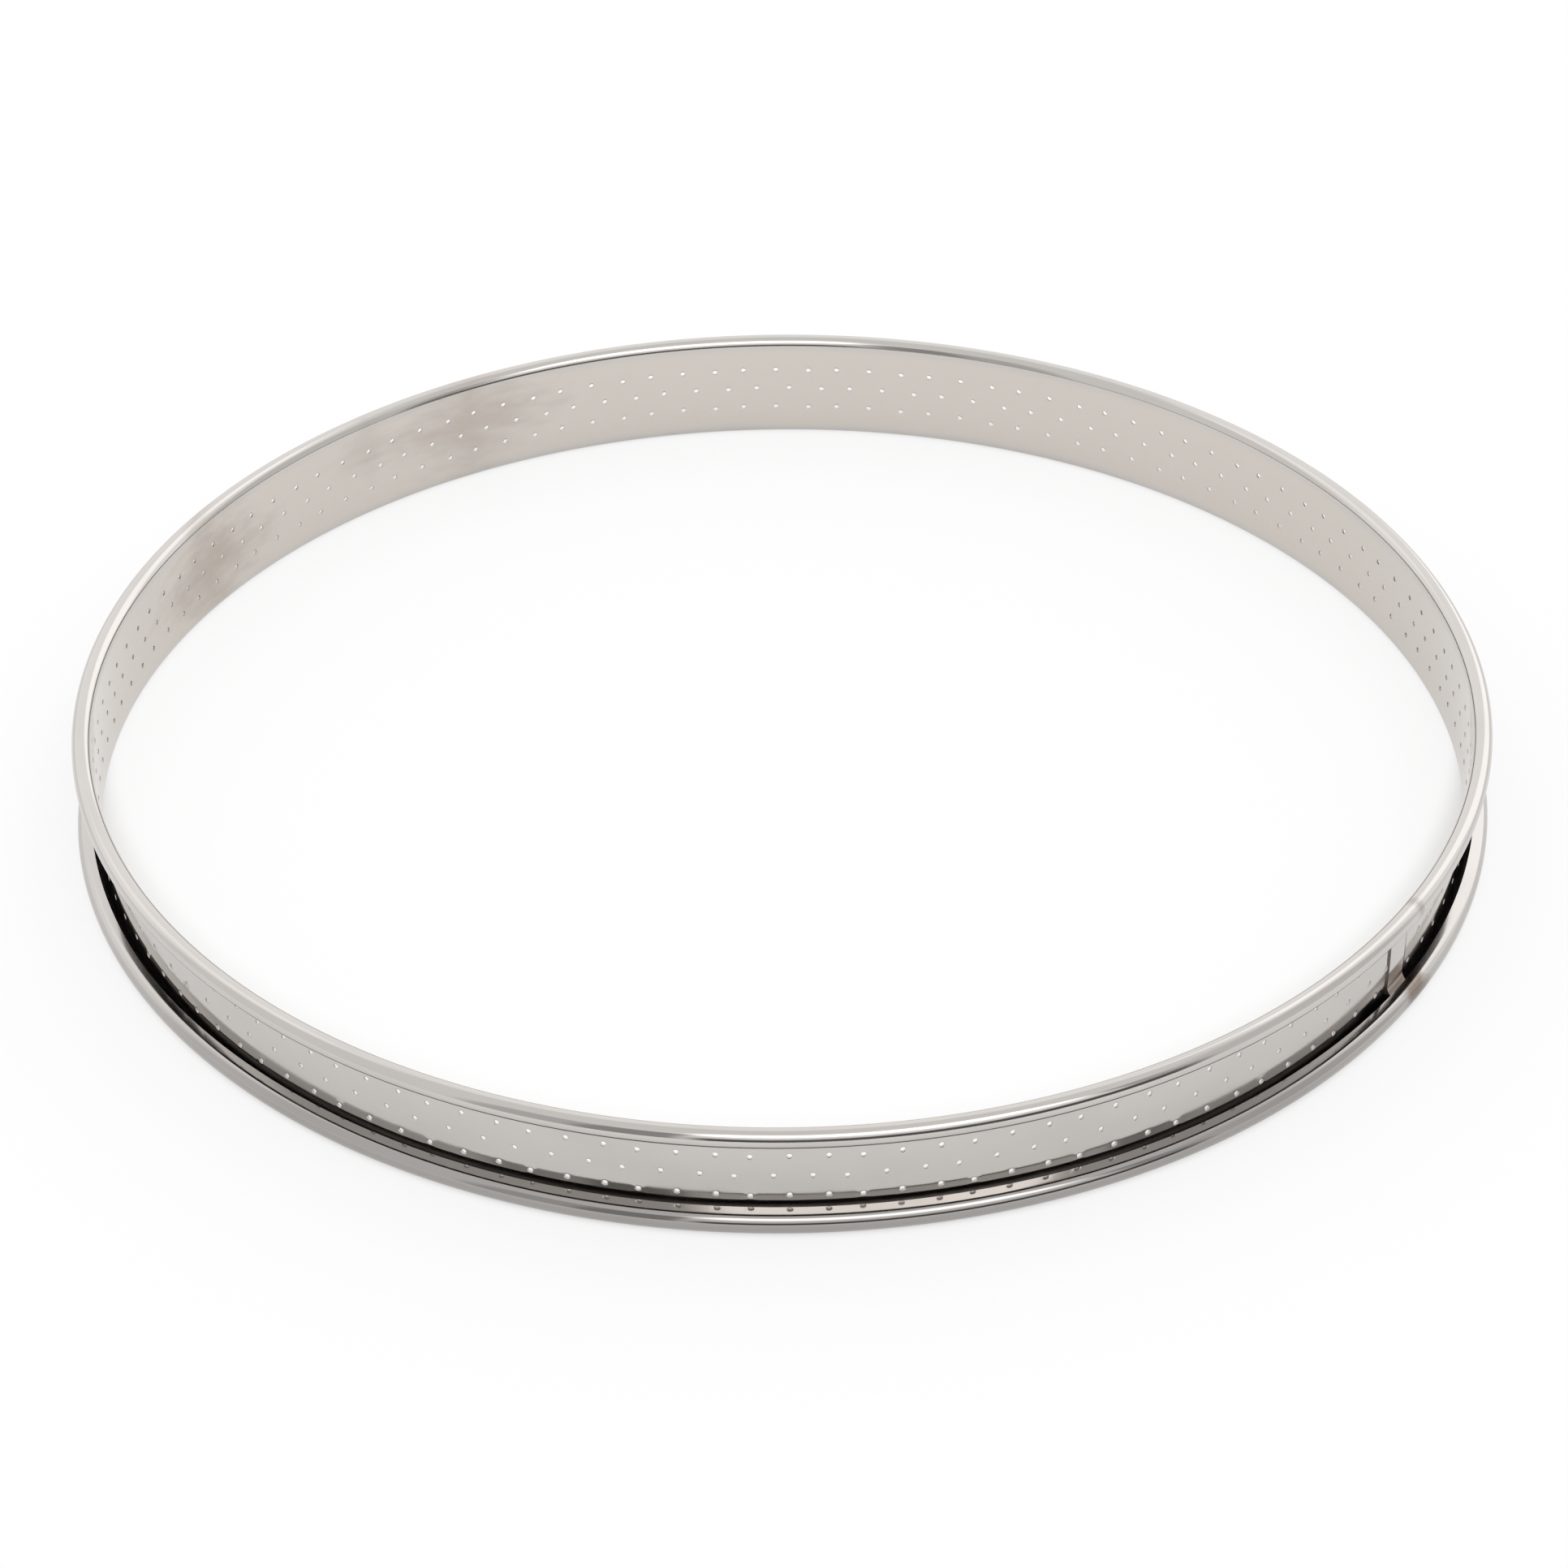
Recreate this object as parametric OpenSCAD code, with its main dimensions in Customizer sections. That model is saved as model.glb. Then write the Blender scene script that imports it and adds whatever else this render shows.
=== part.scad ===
// Perforated tart ring. One strip of thin sheet is bent round, both its edges are rolled
// outward into a bead, and its wall is punched with rows of small vent holes. The two
// ends butt at one seam, where a tab of the strip laps over the outside of the wall.
// The ring stands on its lower bead, centred on the Z axis.

/* [Ring] */
// Outside diameter over the lower bead
outer_d = 240; // [80:1:320]
// Height over both beads
height = 20; // [14:0.5:60]
// Thickness of the sheet
sheet_t = 0.3; // [0.25:0.05:0.8]

/* [Beads] */
// Outside diameter of the roll along the upper edge
top_bead_d = 3.3; // [3:0.1:5]
// Outside diameter of the roll along the lower edge
bottom_bead_d = 3.8; // [3:0.1:5]
// Gap between the tip of a roll and the wall
curl_gap = 1; // [0.1:0.05:1.3]

/* [Vent holes] */
// Diameter of a hole
hole_d = 0.9; // [0.5:0.1:1.4]
// Height of the lowest row above the lower bead
first_row_up = 2.1; // [1.5:0.1:5]
// Distance from one row to the next
row_pitch = 3.9; // [2.5:0.1:8]
// Least distance from the last row to the upper bead
row_margin = 1.5; // [1:0.1:4]
// Columns that the punch makes in one stroke
stroke_holes = 3; // [1:1:3]
// Distance between the columns of a stroke
hole_pitch = 6.05; // [2:0.05:7.5]
// Feed of the strip from one stroke to the next
stroke_feed = 17.4; // [15:0.1:40]
// Shift of every second row, back along the strip
stagger = 2.45; // [0:0.05:5]

/* [Seam] */
// Direction of the seam, counted round from the X axis
seam_angle = 328.95; // [0:0.05:359]
// Gap between the two ends of the strip
butt_gap = 0.2; // [0.1:0.05:0.6]
// Length of the tab that laps over the wall
lap_w = 5.1; // [2:0.1:12]
// Length of the joggle in which the tab rises from its own end of the strip
joggle_w = 1.2; // [0.5:0.1:3]
// Clearance between the tab and each bead
lap_margin = 0.3; // [0.1:0.1:2]
// Depth to which the tab is fused into the wall
weld_depth = 0.1; // [0.05:0.05:0.15]
// Start of the first stroke, along the strip from the seam
first_stroke = -3.3; // [-8:0.1:8]
// Least distance from a hole's edge to the tab or the joggle
seam_clearance = 0.15; // [0.05:0.05:1]

/* [Hidden] */
steel = [0.78, 0.77, 0.75];
ring_fn = 180;
section_fn = 32;
hole_fn = 16;
// How far a cutting body reaches past what it cuts
overcut = 1;

wall_in = outer_d / 2 - bottom_bead_d;
wall_out = wall_in + sheet_t;
wall_mid = (wall_in + wall_out) / 2;
top_z = height - top_bead_d;
rows = max(1, floor((top_z - bottom_bead_d - first_row_up - row_margin) / row_pitch) + 1);
strokes = round(2 * PI * wall_mid / stroke_feed);

// Angle that a length along the strip takes up round the ring
function along(length) = length / wall_mid * 180 / PI;

// Point of the plan at a radius and an angle
function polar(radius, angle) = [radius * cos(angle), radius * sin(angle)];

// Opening angle that leaves the tip of a roll clear of the wall
function curl_opening(bead_d) = acos(1 - (sheet_t + curl_gap) / (bead_d / 2));

// Whether a hole at this length from the seam is clear of the tab and the joggle
function clear_of_seam(length) =
    let (reach = hole_d / 2 + seam_clearance)
    length < -lap_w - reach || length > joggle_w + reach;

// Section of a rolled edge. The roll leaves the wall at its own middle, turns away from
// the wall's free side and comes back towards the wall, short of which it ends. side is 1
// where the wall runs up from the roll and -1 where it runs down.
module curl_section(bead_d, side) {
    opening = curl_opening(bead_d);
    difference() {
        circle(d = bead_d);
        circle(d = bead_d - 2 * sheet_t);
        polygon([[0, 0], polar(bead_d, 180), polar(bead_d, 180 - side * opening)]);
    }
}

// Section of the strip: the straight wall with a roll at each end
module strip_section() {
    low_z = bottom_bead_d / 2;
    high_z = height - top_bead_d / 2;
    translate([wall_in, low_z]) square([sheet_t, high_z - low_z]);
    translate([wall_in + bottom_bead_d / 2, low_z]) curl_section(bottom_bead_d, 1);
    translate([wall_in + top_bead_d / 2, high_z]) curl_section(top_bead_d, -1);
}

// One vent hole's cutting body, laid along the radius
module vent_hole(angle, z) {
    rotate([0, 0, angle])
        translate([wall_in - overcut, 0, z])
            rotate([0, 90, 0]) cylinder(d = hole_d, h = sheet_t + 2 * overcut, $fn = hole_fn);
}

// All the vent holes, stroke by stroke round the ring
module vent_holes() {
    stroke_angle = 360 / strokes;
    for (stroke = [0 : strokes - 1], column = [0 : stroke_holes - 1], row = [0 : rows - 1]) {
        from_start = column * hole_pitch - (row % 2) * stagger + first_stroke;
        angle = stroke * stroke_angle + along(from_start);
        turned = angle > 180 ? angle - 360 : angle;
        if (clear_of_seam(turned * PI / 180 * wall_mid))
            vent_hole(seam_angle + angle, bottom_bead_d + first_row_up + row * row_pitch);
    }
}

// The tab that laps over the outside of the wall, with its joggle
module lap_tab() {
    foot = wall_out - weld_depth;
    crest = wall_out + sheet_t;
    tab_z = bottom_bead_d + lap_margin;
    back = along(-lap_w);
    rise = along(joggle_w);
    translate([0, 0, tab_z])
        linear_extrude(height - top_bead_d - lap_margin - tab_z)
            rotate(seam_angle) {
                intersection() {
                    circle(r = crest, $fn = ring_fn);
                    polygon([polar(foot, back), polar(2 * crest, back), polar(2 * crest, 0),
                             polar(foot, 0)]);
                }
                polygon([polar(foot, 0), polar(crest, 0), polar(wall_out, rise),
                         polar(foot, rise)]);
            }
}

// The strip bent round, from one side of the seam to the other
module bent_strip() {
    butt_angle = along(butt_gap);
    rotate([0, 0, seam_angle + butt_angle / 2])
        rotate_extrude(angle = 360 - butt_angle, $fn = ring_fn)
            strip_section($fn = section_fn);
}

module tart_ring() {
    color(steel) {
        difference() {
            bent_strip();
            vent_holes();
        }
        lap_tab();
    }
}

tart_ring();
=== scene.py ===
"""Perforated tart ring of polished stainless sheet, with its floor, light and camera."""

import math

import bpy
from bpy.props import FloatProperty, FloatVectorProperty, IntProperty, PointerProperty
from mathutils import Matrix, Vector


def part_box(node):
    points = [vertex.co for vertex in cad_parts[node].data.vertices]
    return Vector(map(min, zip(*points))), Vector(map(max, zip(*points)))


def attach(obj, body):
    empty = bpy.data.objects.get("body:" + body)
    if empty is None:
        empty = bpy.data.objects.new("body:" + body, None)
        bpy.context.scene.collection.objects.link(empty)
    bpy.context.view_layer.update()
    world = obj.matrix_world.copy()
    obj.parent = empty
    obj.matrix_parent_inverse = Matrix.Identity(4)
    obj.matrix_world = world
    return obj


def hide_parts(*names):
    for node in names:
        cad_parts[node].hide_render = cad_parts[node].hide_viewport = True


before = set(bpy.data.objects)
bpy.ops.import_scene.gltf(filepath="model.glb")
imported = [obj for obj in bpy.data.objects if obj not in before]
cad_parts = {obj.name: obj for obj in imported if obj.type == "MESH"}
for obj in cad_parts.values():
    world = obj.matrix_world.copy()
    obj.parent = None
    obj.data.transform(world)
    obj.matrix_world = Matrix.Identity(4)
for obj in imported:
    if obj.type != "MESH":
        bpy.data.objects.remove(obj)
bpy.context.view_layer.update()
RING_LOW, RING_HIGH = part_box("tart_ring")

bl_info = {
    "name": "Tart Ring",
    "version": (1, 0, 0),
    "blender": (4, 5, 0),
    "location": "3D View > Sidebar > Tart Ring",
    "description": "Perforated tart ring with rolled edges and a lapped seam",
    "category": "Add Mesh",
}

MM = 0.001

# Angles round a hole at which its rings have points. The corners of a cell lie on them.
HOLE_POINTS = 12
# Steps in which a roll's outside and its hollow side are turned
ROLL_STEPS = 44
HOLLOW_STEPS = 14
# Columns of the rolls, round the ring
ROLL_COLUMNS = 252
# Longest face of the plain wall between two holes
PLAIN_LENGTH = 2 * MM
# Shares of a dish's width at which it has rings of points, from the hole's edge out
DISH_RINGS = (0.0, 0.3, 0.65, 1.0)
# Angles from the ring's front at which the lower roll's gap starts to widen and is widest
GAP_WIDENS, GAP_WIDEST = math.radians(42.0), math.radians(66.0)
# How a roll's sheared tip faces: in towards the wall, and along the wall away from its bead
TIP_IN, TIP_UP = 0.8, 0.6
# How far the foot of the lap's weld stays short of the lower roll's tip
FOOT_SHORT = 0.1 * MM
# Difference under which the keys of two points in a band count as the same
SAME_KEY = 1e-9

# Places of the finishes among a piece's materials
POLISHED, CUT_EDGE, HOLLOW, PUNCHED = range(4)
# Faces of the sheet: the ring's inside, its outside, and the lap's
INNER, OUTER, LAP = range(3)

# What the properties of a colour, and those of a share, have in common
COLOUR = {"size": 3, "min": 0.0, "max": 1.0, "subtype": "COLOR"}
SHARE = {"min": 0.0, "max": 1.0, "subtype": "FACTOR"}


class RingSizes(bpy.types.PropertyGroup):
    """Sizes of the ring, as the strip is bent, rolled and punched."""

    outer_d: FloatProperty(
        name="Outside diameter",
        description="Diameter over the lower bead",
        default=RING_HIGH.x - RING_LOW.x,
        unit="LENGTH",
    )
    height: FloatProperty(
        name="Height",
        description="Height over both beads",
        default=RING_HIGH.z - RING_LOW.z,
        unit="LENGTH",
    )
    sheet_t: FloatProperty(
        name="Sheet", description="Thickness of the sheet", default=0.3 * MM, unit="LENGTH"
    )
    top_bead_d: FloatProperty(
        name="Upper bead", description="Diameter of the upper roll", default=3.3 * MM, unit="LENGTH"
    )
    bottom_bead_d: FloatProperty(
        name="Lower bead", description="Diameter of the lower roll", default=4.0 * MM, unit="LENGTH"
    )
    flare: FloatProperty(
        name="Flare",
        description="Widening of the wall's radius, from the lower bead up",
        default=0.5 * MM,
        unit="LENGTH",
    )
    flare_low: FloatProperty(
        name="Flare slackens",
        description="Height from which the flare slackens",
        default=5.0 * MM,
        unit="LENGTH",
    )
    flare_high: FloatProperty(
        name="Flare ends",
        description="Height at which the flare has run out",
        default=14.0 * MM,
        unit="LENGTH",
    )
    curl_gap: FloatProperty(
        name="Roll gap",
        description="Gap between the tip of a roll and the wall",
        default=0.95 * MM,
        unit="LENGTH",
    )
    open_side: FloatProperty(
        name="Open side",
        description="How much wider that gap of the lower roll is towards the ring's two sides",
        default=0.35 * MM,
        unit="LENGTH",
    )
    tight_d: FloatProperty(
        name="Tight part",
        description="Diameter to which the second half of the lower roll tightens",
        default=3.6 * MM,
        unit="LENGTH",
    )
    tight_turn: FloatProperty(
        name="Tight turn",
        description="Turn of that tighter part. The sheet's edge beyond it stays straight",
        default=math.radians(80.0),
        subtype="ANGLE",
    )
    hole_d: FloatProperty(
        name="Hole", description="Diameter of a vent hole", default=0.9 * MM, unit="LENGTH"
    )
    dish_d: FloatProperty(
        name="Dish",
        description="Diameter of the dish that the punch draws round a hole",
        default=1.3 * MM,
        unit="LENGTH",
    )
    dish_depth: FloatProperty(
        name="Dish depth", description="Depth of that dish", default=0.06 * MM, unit="LENGTH"
    )
    dent_d: FloatProperty(
        name="Dent",
        description="Diameter of the shallow dent that surrounds the dish",
        default=2.6 * MM,
        unit="LENGTH",
    )
    dent_depth: FloatProperty(
        name="Dent depth", description="Depth of that dent", default=0.01 * MM, unit="LENGTH"
    )
    first_dent: FloatProperty(
        name="First dent",
        description="Depth of that dent at the first column of a stroke. Below 0 it bulges out",
        default=-0.04 * MM,
        unit="LENGTH",
    )
    rows: IntProperty(name="Rows", description="Rows of vent holes", default=3, min=1)
    first_row_up: FloatProperty(
        name="First row",
        description="Height of the lowest row above the lower bead",
        default=1.9 * MM,
        unit="LENGTH",
    )
    row_pitch: FloatProperty(
        name="Row pitch", description="Distance between rows", default=3.9 * MM, unit="LENGTH"
    )
    strokes: IntProperty(
        name="Strokes", description="Strokes of the punch round the ring", default=42, min=3
    )
    stroke_holes: IntProperty(
        name="Columns", description="Columns that one stroke makes", default=3, min=1
    )
    hole_pitch: FloatProperty(
        name="Hole pitch",
        description="Distance between the columns of a stroke",
        default=6.05 * MM,
        unit="LENGTH",
    )
    stagger: FloatProperty(
        name="Stagger",
        description="Shift of every second row, back along the strip",
        default=2.45 * MM,
        unit="LENGTH",
    )
    column_drop: FloatProperty(
        name="Column drop",
        description="How much lower the first column of a stroke is punched",
        default=0.22 * MM,
        unit="LENGTH",
    )
    first_stroke: FloatProperty(
        name="First stroke",
        description="Start of the first stroke, along the strip from the seam",
        default=-3.3 * MM,
        unit="LENGTH",
    )
    seam_angle: FloatProperty(
        name="Seam",
        description="Direction of the seam, counted round from the X axis",
        default=math.radians(328.95),
        subtype="ANGLE",
    )
    butt_gap: FloatProperty(
        name="Butt gap",
        description="Gap between the two ends of the strip",
        default=0.02 * MM,
        unit="LENGTH",
    )
    lap_w: FloatProperty(
        name="Lap", description="Length of the lap over the wall", default=5.1 * MM, unit="LENGTH"
    )
    joggle_w: FloatProperty(
        name="Joggle",
        description="Length in which the lap rises from its own end of the strip",
        default=1.2 * MM,
        unit="LENGTH",
    )
    lap_margin: FloatProperty(
        name="Lap margin",
        description="Clearance between the lap and the upper bead",
        default=0.3 * MM,
        unit="LENGTH",
    )
    lap_low: FloatProperty(
        name="Lap's foot",
        description="Height of the lap's lower edge, where it is welded to the lower roll's tip",
        default=3.9 * MM,
        unit="LENGTH",
    )
    lap_fillet: FloatProperty(
        name="Lap's fillet",
        description="Height over which the weld sweeps out from the lap to that tip",
        default=1.6 * MM,
        unit="LENGTH",
    )
    weld_depth: FloatProperty(
        name="Weld",
        description="Depth to which the lap is fused into the wall",
        default=0.1 * MM,
        unit="LENGTH",
    )
    seam_clearance: FloatProperty(
        name="Seam clearance",
        description="Least distance from a hole's edge to the lap or the joggle",
        default=0.15 * MM,
        unit="LENGTH",
    )


class SteelLook(bpy.types.PropertyGroup):
    """Colours and gloss of the sheet."""

    steel: FloatVectorProperty(
        name="Steel",
        description="Colour of the polished sheet",
        default=(0.615, 0.585, 0.56),
        **COLOUR,
    )
    # Painted reflection: the inner wall gets a lighter, warmer copy of the steel for the brighter
    # light it mirrors
    inner: FloatVectorProperty(
        name="Inner wall",
        description="Colour of the inner wall",
        default=(0.65, 0.608, 0.562),
        **COLOUR,
    )
    smudge: FloatVectorProperty(
        name="Smudge",
        description="Colour of the brownish smudges on the inner wall",
        default=(0.40, 0.34, 0.29),
        **COLOUR,
    )
    # Brown heat tint of the weld, made dark so that at the lap's foot and on the lower roll by the
    # seam it is also painted shade in the notch under the lap
    tint: FloatVectorProperty(
        name="Heat tint",
        description="Colour of the sheet where the weld has heated it",
        default=(0.21, 0.165, 0.135),
        **COLOUR,
    )
    # Dull sheared finish, darkened further as painted shade for the dark end of the lap
    cut: FloatVectorProperty(
        name="Cut edge",
        description="Colour of the sheared edges",
        default=(0.22, 0.21, 0.20),
        **COLOUR,
    )
    punched: FloatVectorProperty(
        name="Punched wall",
        description="Colour of the walls of the holes",
        default=(0.42, 0.40, 0.385),
        **COLOUR,
    )
    # Its darkness is painted shade for the hollow inside the rolls
    hollow: FloatVectorProperty(
        name="Hollow",
        description="Colour of the unpolished hollow side of the rolls",
        default=(0.22, 0.205, 0.20),
        **COLOUR,
    )
    gloss: FloatProperty(
        name="Roughness",
        description="Roughness of the polished sheet",
        default=0.07,
        **SHARE,
    )
    haze: FloatProperty(
        name="Haze",
        description="Extra roughness where the polish is hazed",
        default=0.08,
        **SHARE,
    )


class StageLook(bpy.types.PropertyGroup):
    """Floor, light and camera."""

    floor_d: FloatProperty(
        name="Floor", description="Diameter of the floor", default=0.44, unit="LENGTH"
    )
    floor_colour: FloatVectorProperty(
        name="Floor colour",
        description="Colour of the floor",
        default=(0.92, 0.92, 0.92),
        **COLOUR,
    )
    paper: FloatProperty(
        name="White floor",
        description="How far the camera sees the floor as plain white, without its shadow",
        default=0.8,
        **SHARE,
    )
    shade: FloatProperty(
        name="Shade",
        description="Length of the shade behind the wall, in which the floor keeps its own look",
        default=28 * MM,
        unit="LENGTH",
    )
    mirrored_paper: FloatProperty(
        name="White floor in the metal",
        description="How far the metal mirrors the floor as plain white, without its shadow",
        default=0.5,
        **SHARE,
    )
    light: FloatProperty(
        name="Light", description="Level of the soft light all round", default=1.0, min=0.0
    )
    distance: FloatProperty(
        name="Camera distance",
        description="From the camera to the middle of the picture",
        default=963.1 * MM,
        unit="LENGTH",
    )
    elevation: FloatProperty(
        name="Camera elevation",
        description="Height of the camera above the horizon",
        default=0.6141,
        subtype="ANGLE",
    )
    roll: FloatProperty(
        name="Camera roll", description="Turn of the picture", default=-0.0084, subtype="ANGLE"
    )
    lens: FloatProperty(
        name="Lens", description="Focal length for a 36 mm wide picture", default=129.14
    )
    target: FloatVectorProperty(
        name="Target",
        description="Point in the middle of the picture",
        default=(0.2609 * MM, 0.0, 1.0413 * MM),
        size=3,
        subtype="TRANSLATION",
    )


class Sheet:
    """Faces of a piece as they are laid, with a normal of its own at each corner."""

    def __init__(self, sizes):
        self.sizes = sizes
        self.wall_in = sizes.outer_d / 2 - sizes.bottom_bead_d
        self.wall_out = self.wall_in + sizes.sheet_t
        self.wall_mid = (self.wall_in + self.wall_out) / 2
        self.flare_start = sizes.bottom_bead_d / 2
        run = (sizes.flare_low + sizes.flare_high) / 2 - self.flare_start
        self.steepest = sizes.flare / run
        self.places, self.strip = [], []
        self.faces, self.normals, self.finishes = [], [], []

    def widening(self, height):
        """How far the wall has widened at a height, and how steeply it does so there."""
        slack, end = self.sizes.flare_low, self.sizes.flare_high
        rise = max(0.0, min(height, slack) - self.flare_start) * self.steepest
        if height <= slack:
            return rise, self.steepest if height > self.flare_start else 0.0
        past = min(height, end) - slack
        rise += self.steepest * (past - past**2 / (end - slack) / 2)
        return rise, self.steepest * max(0.0, 1 - past / (end - slack))

    def point(self, angle, radius, height, across, layer):
        """Adds a point at an angle from the seam. across and layer say where it is on the strip."""
        turned = self.sizes.seam_angle + angle
        self.places.append((radius * math.cos(turned), radius * math.sin(turned), height))
        self.strip.append((angle * self.wall_mid, across, layer))
        return len(self.places) - 1

    def direction(self, angle, out, along=0.0, up=0.0):
        """Unit direction, from its parts away from the axis, along the strip and up."""
        turned = self.sizes.seam_angle + angle
        c, s = math.cos(turned), math.sin(turned)
        length = math.sqrt(out * out + along * along + up * up)
        return ((out * c - along * s) / length, (out * s + along * c) / length, up / length)

    def face(self, corners, finish=POLISHED):
        """Adds a face through (point, normal) corners, and turns it the way its normals point."""
        a, b, c = (self.places[corner[0]] for corner in corners[:3])
        ab = [b[k] - a[k] for k in range(3)]
        ac = [c[k] - a[k] for k in range(3)]
        flat = (
            ab[1] * ac[2] - ab[2] * ac[1],
            ab[2] * ac[0] - ab[0] * ac[2],
            ab[0] * ac[1] - ab[1] * ac[0],
        )
        facing = sum(flat[k] * sum(corner[1][k] for corner in corners) for k in range(3))
        if facing < 0:
            corners = corners[::-1]
        self.faces.append([corner[0] for corner in corners])
        self.normals.extend(corner[1] for corner in corners)
        self.finishes.append(finish)

    def band(self, low, high, finish=POLISHED):
        """Fills the band between two lines of (key, point, normal) whose keys rise along them."""
        i = j = 0
        while i < len(low) - 1 or j < len(high) - 1:
            next_low = low[i + 1][0] if i < len(low) - 1 else math.inf
            next_high = high[j + 1][0] if j < len(high) - 1 else math.inf
            if abs(next_low - next_high) < SAME_KEY:
                self.face([low[i][1:], low[i + 1][1:], high[j + 1][1:], high[j][1:]], finish)
                i, j = i + 1, j + 1
            elif next_low < next_high:
                self.face([low[i][1:], low[i + 1][1:], high[j][1:]], finish)
                i += 1
            else:
                self.face([low[i][1:], high[j + 1][1:], high[j][1:]], finish)
                j += 1

    def piece(self, name, materials):
        """Makes the object, smooth, with the normals and the strip's own coordinates."""
        mesh = bpy.data.meshes.new(name)
        mesh.from_pydata(self.places, [], self.faces)
        for material in materials:
            mesh.materials.append(material)
        mesh.polygons.foreach_set("material_index", self.finishes)
        mesh.polygons.foreach_set("use_smooth", [True] * len(mesh.polygons))
        strip = mesh.attributes.new("strip", "FLOAT_VECTOR", "POINT")
        strip.data.foreach_set("vector", [part for place in self.strip for part in place])
        mesh.normals_split_custom_set(self.normals)
        mesh.update()
        made = bpy.data.objects.new(name, mesh)
        bpy.context.collection.objects.link(made)
        return made


class Roll:
    """Section of a rolled edge: half a turn, then a tighter arc, then the sheet's straight edge."""

    def __init__(self, bead_d, tight_d, tight_turn):
        self.radius, self.tight = bead_d / 2, tight_d / 2
        self.half = math.pi * self.radius
        self.curved = self.half + tight_turn * self.tight
        self.last_turn = math.pi + tight_turn

    def place(self, length):
        """How far out and up a length along the roll lies, and how far it has turned there."""
        if length < self.half:
            turned = length / self.radius
            return self.radius * (1 - math.cos(turned)), self.radius * math.sin(turned), turned
        turned = min(math.pi + (length - self.half) / self.tight, self.last_turn)
        c, s = math.cos(turned), math.sin(turned)
        past = max(0.0, length - self.curved)
        out = 2 * self.radius - self.tight * (1 + c) + past * s
        return out, self.tight * s + past * c, turned

    def length(self, out):
        """Length at which the straight edge has come back to a distance from the wall."""
        end = self.place(self.curved)[0]
        return self.curved + (end - out) / -math.sin(self.last_turn)


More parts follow.
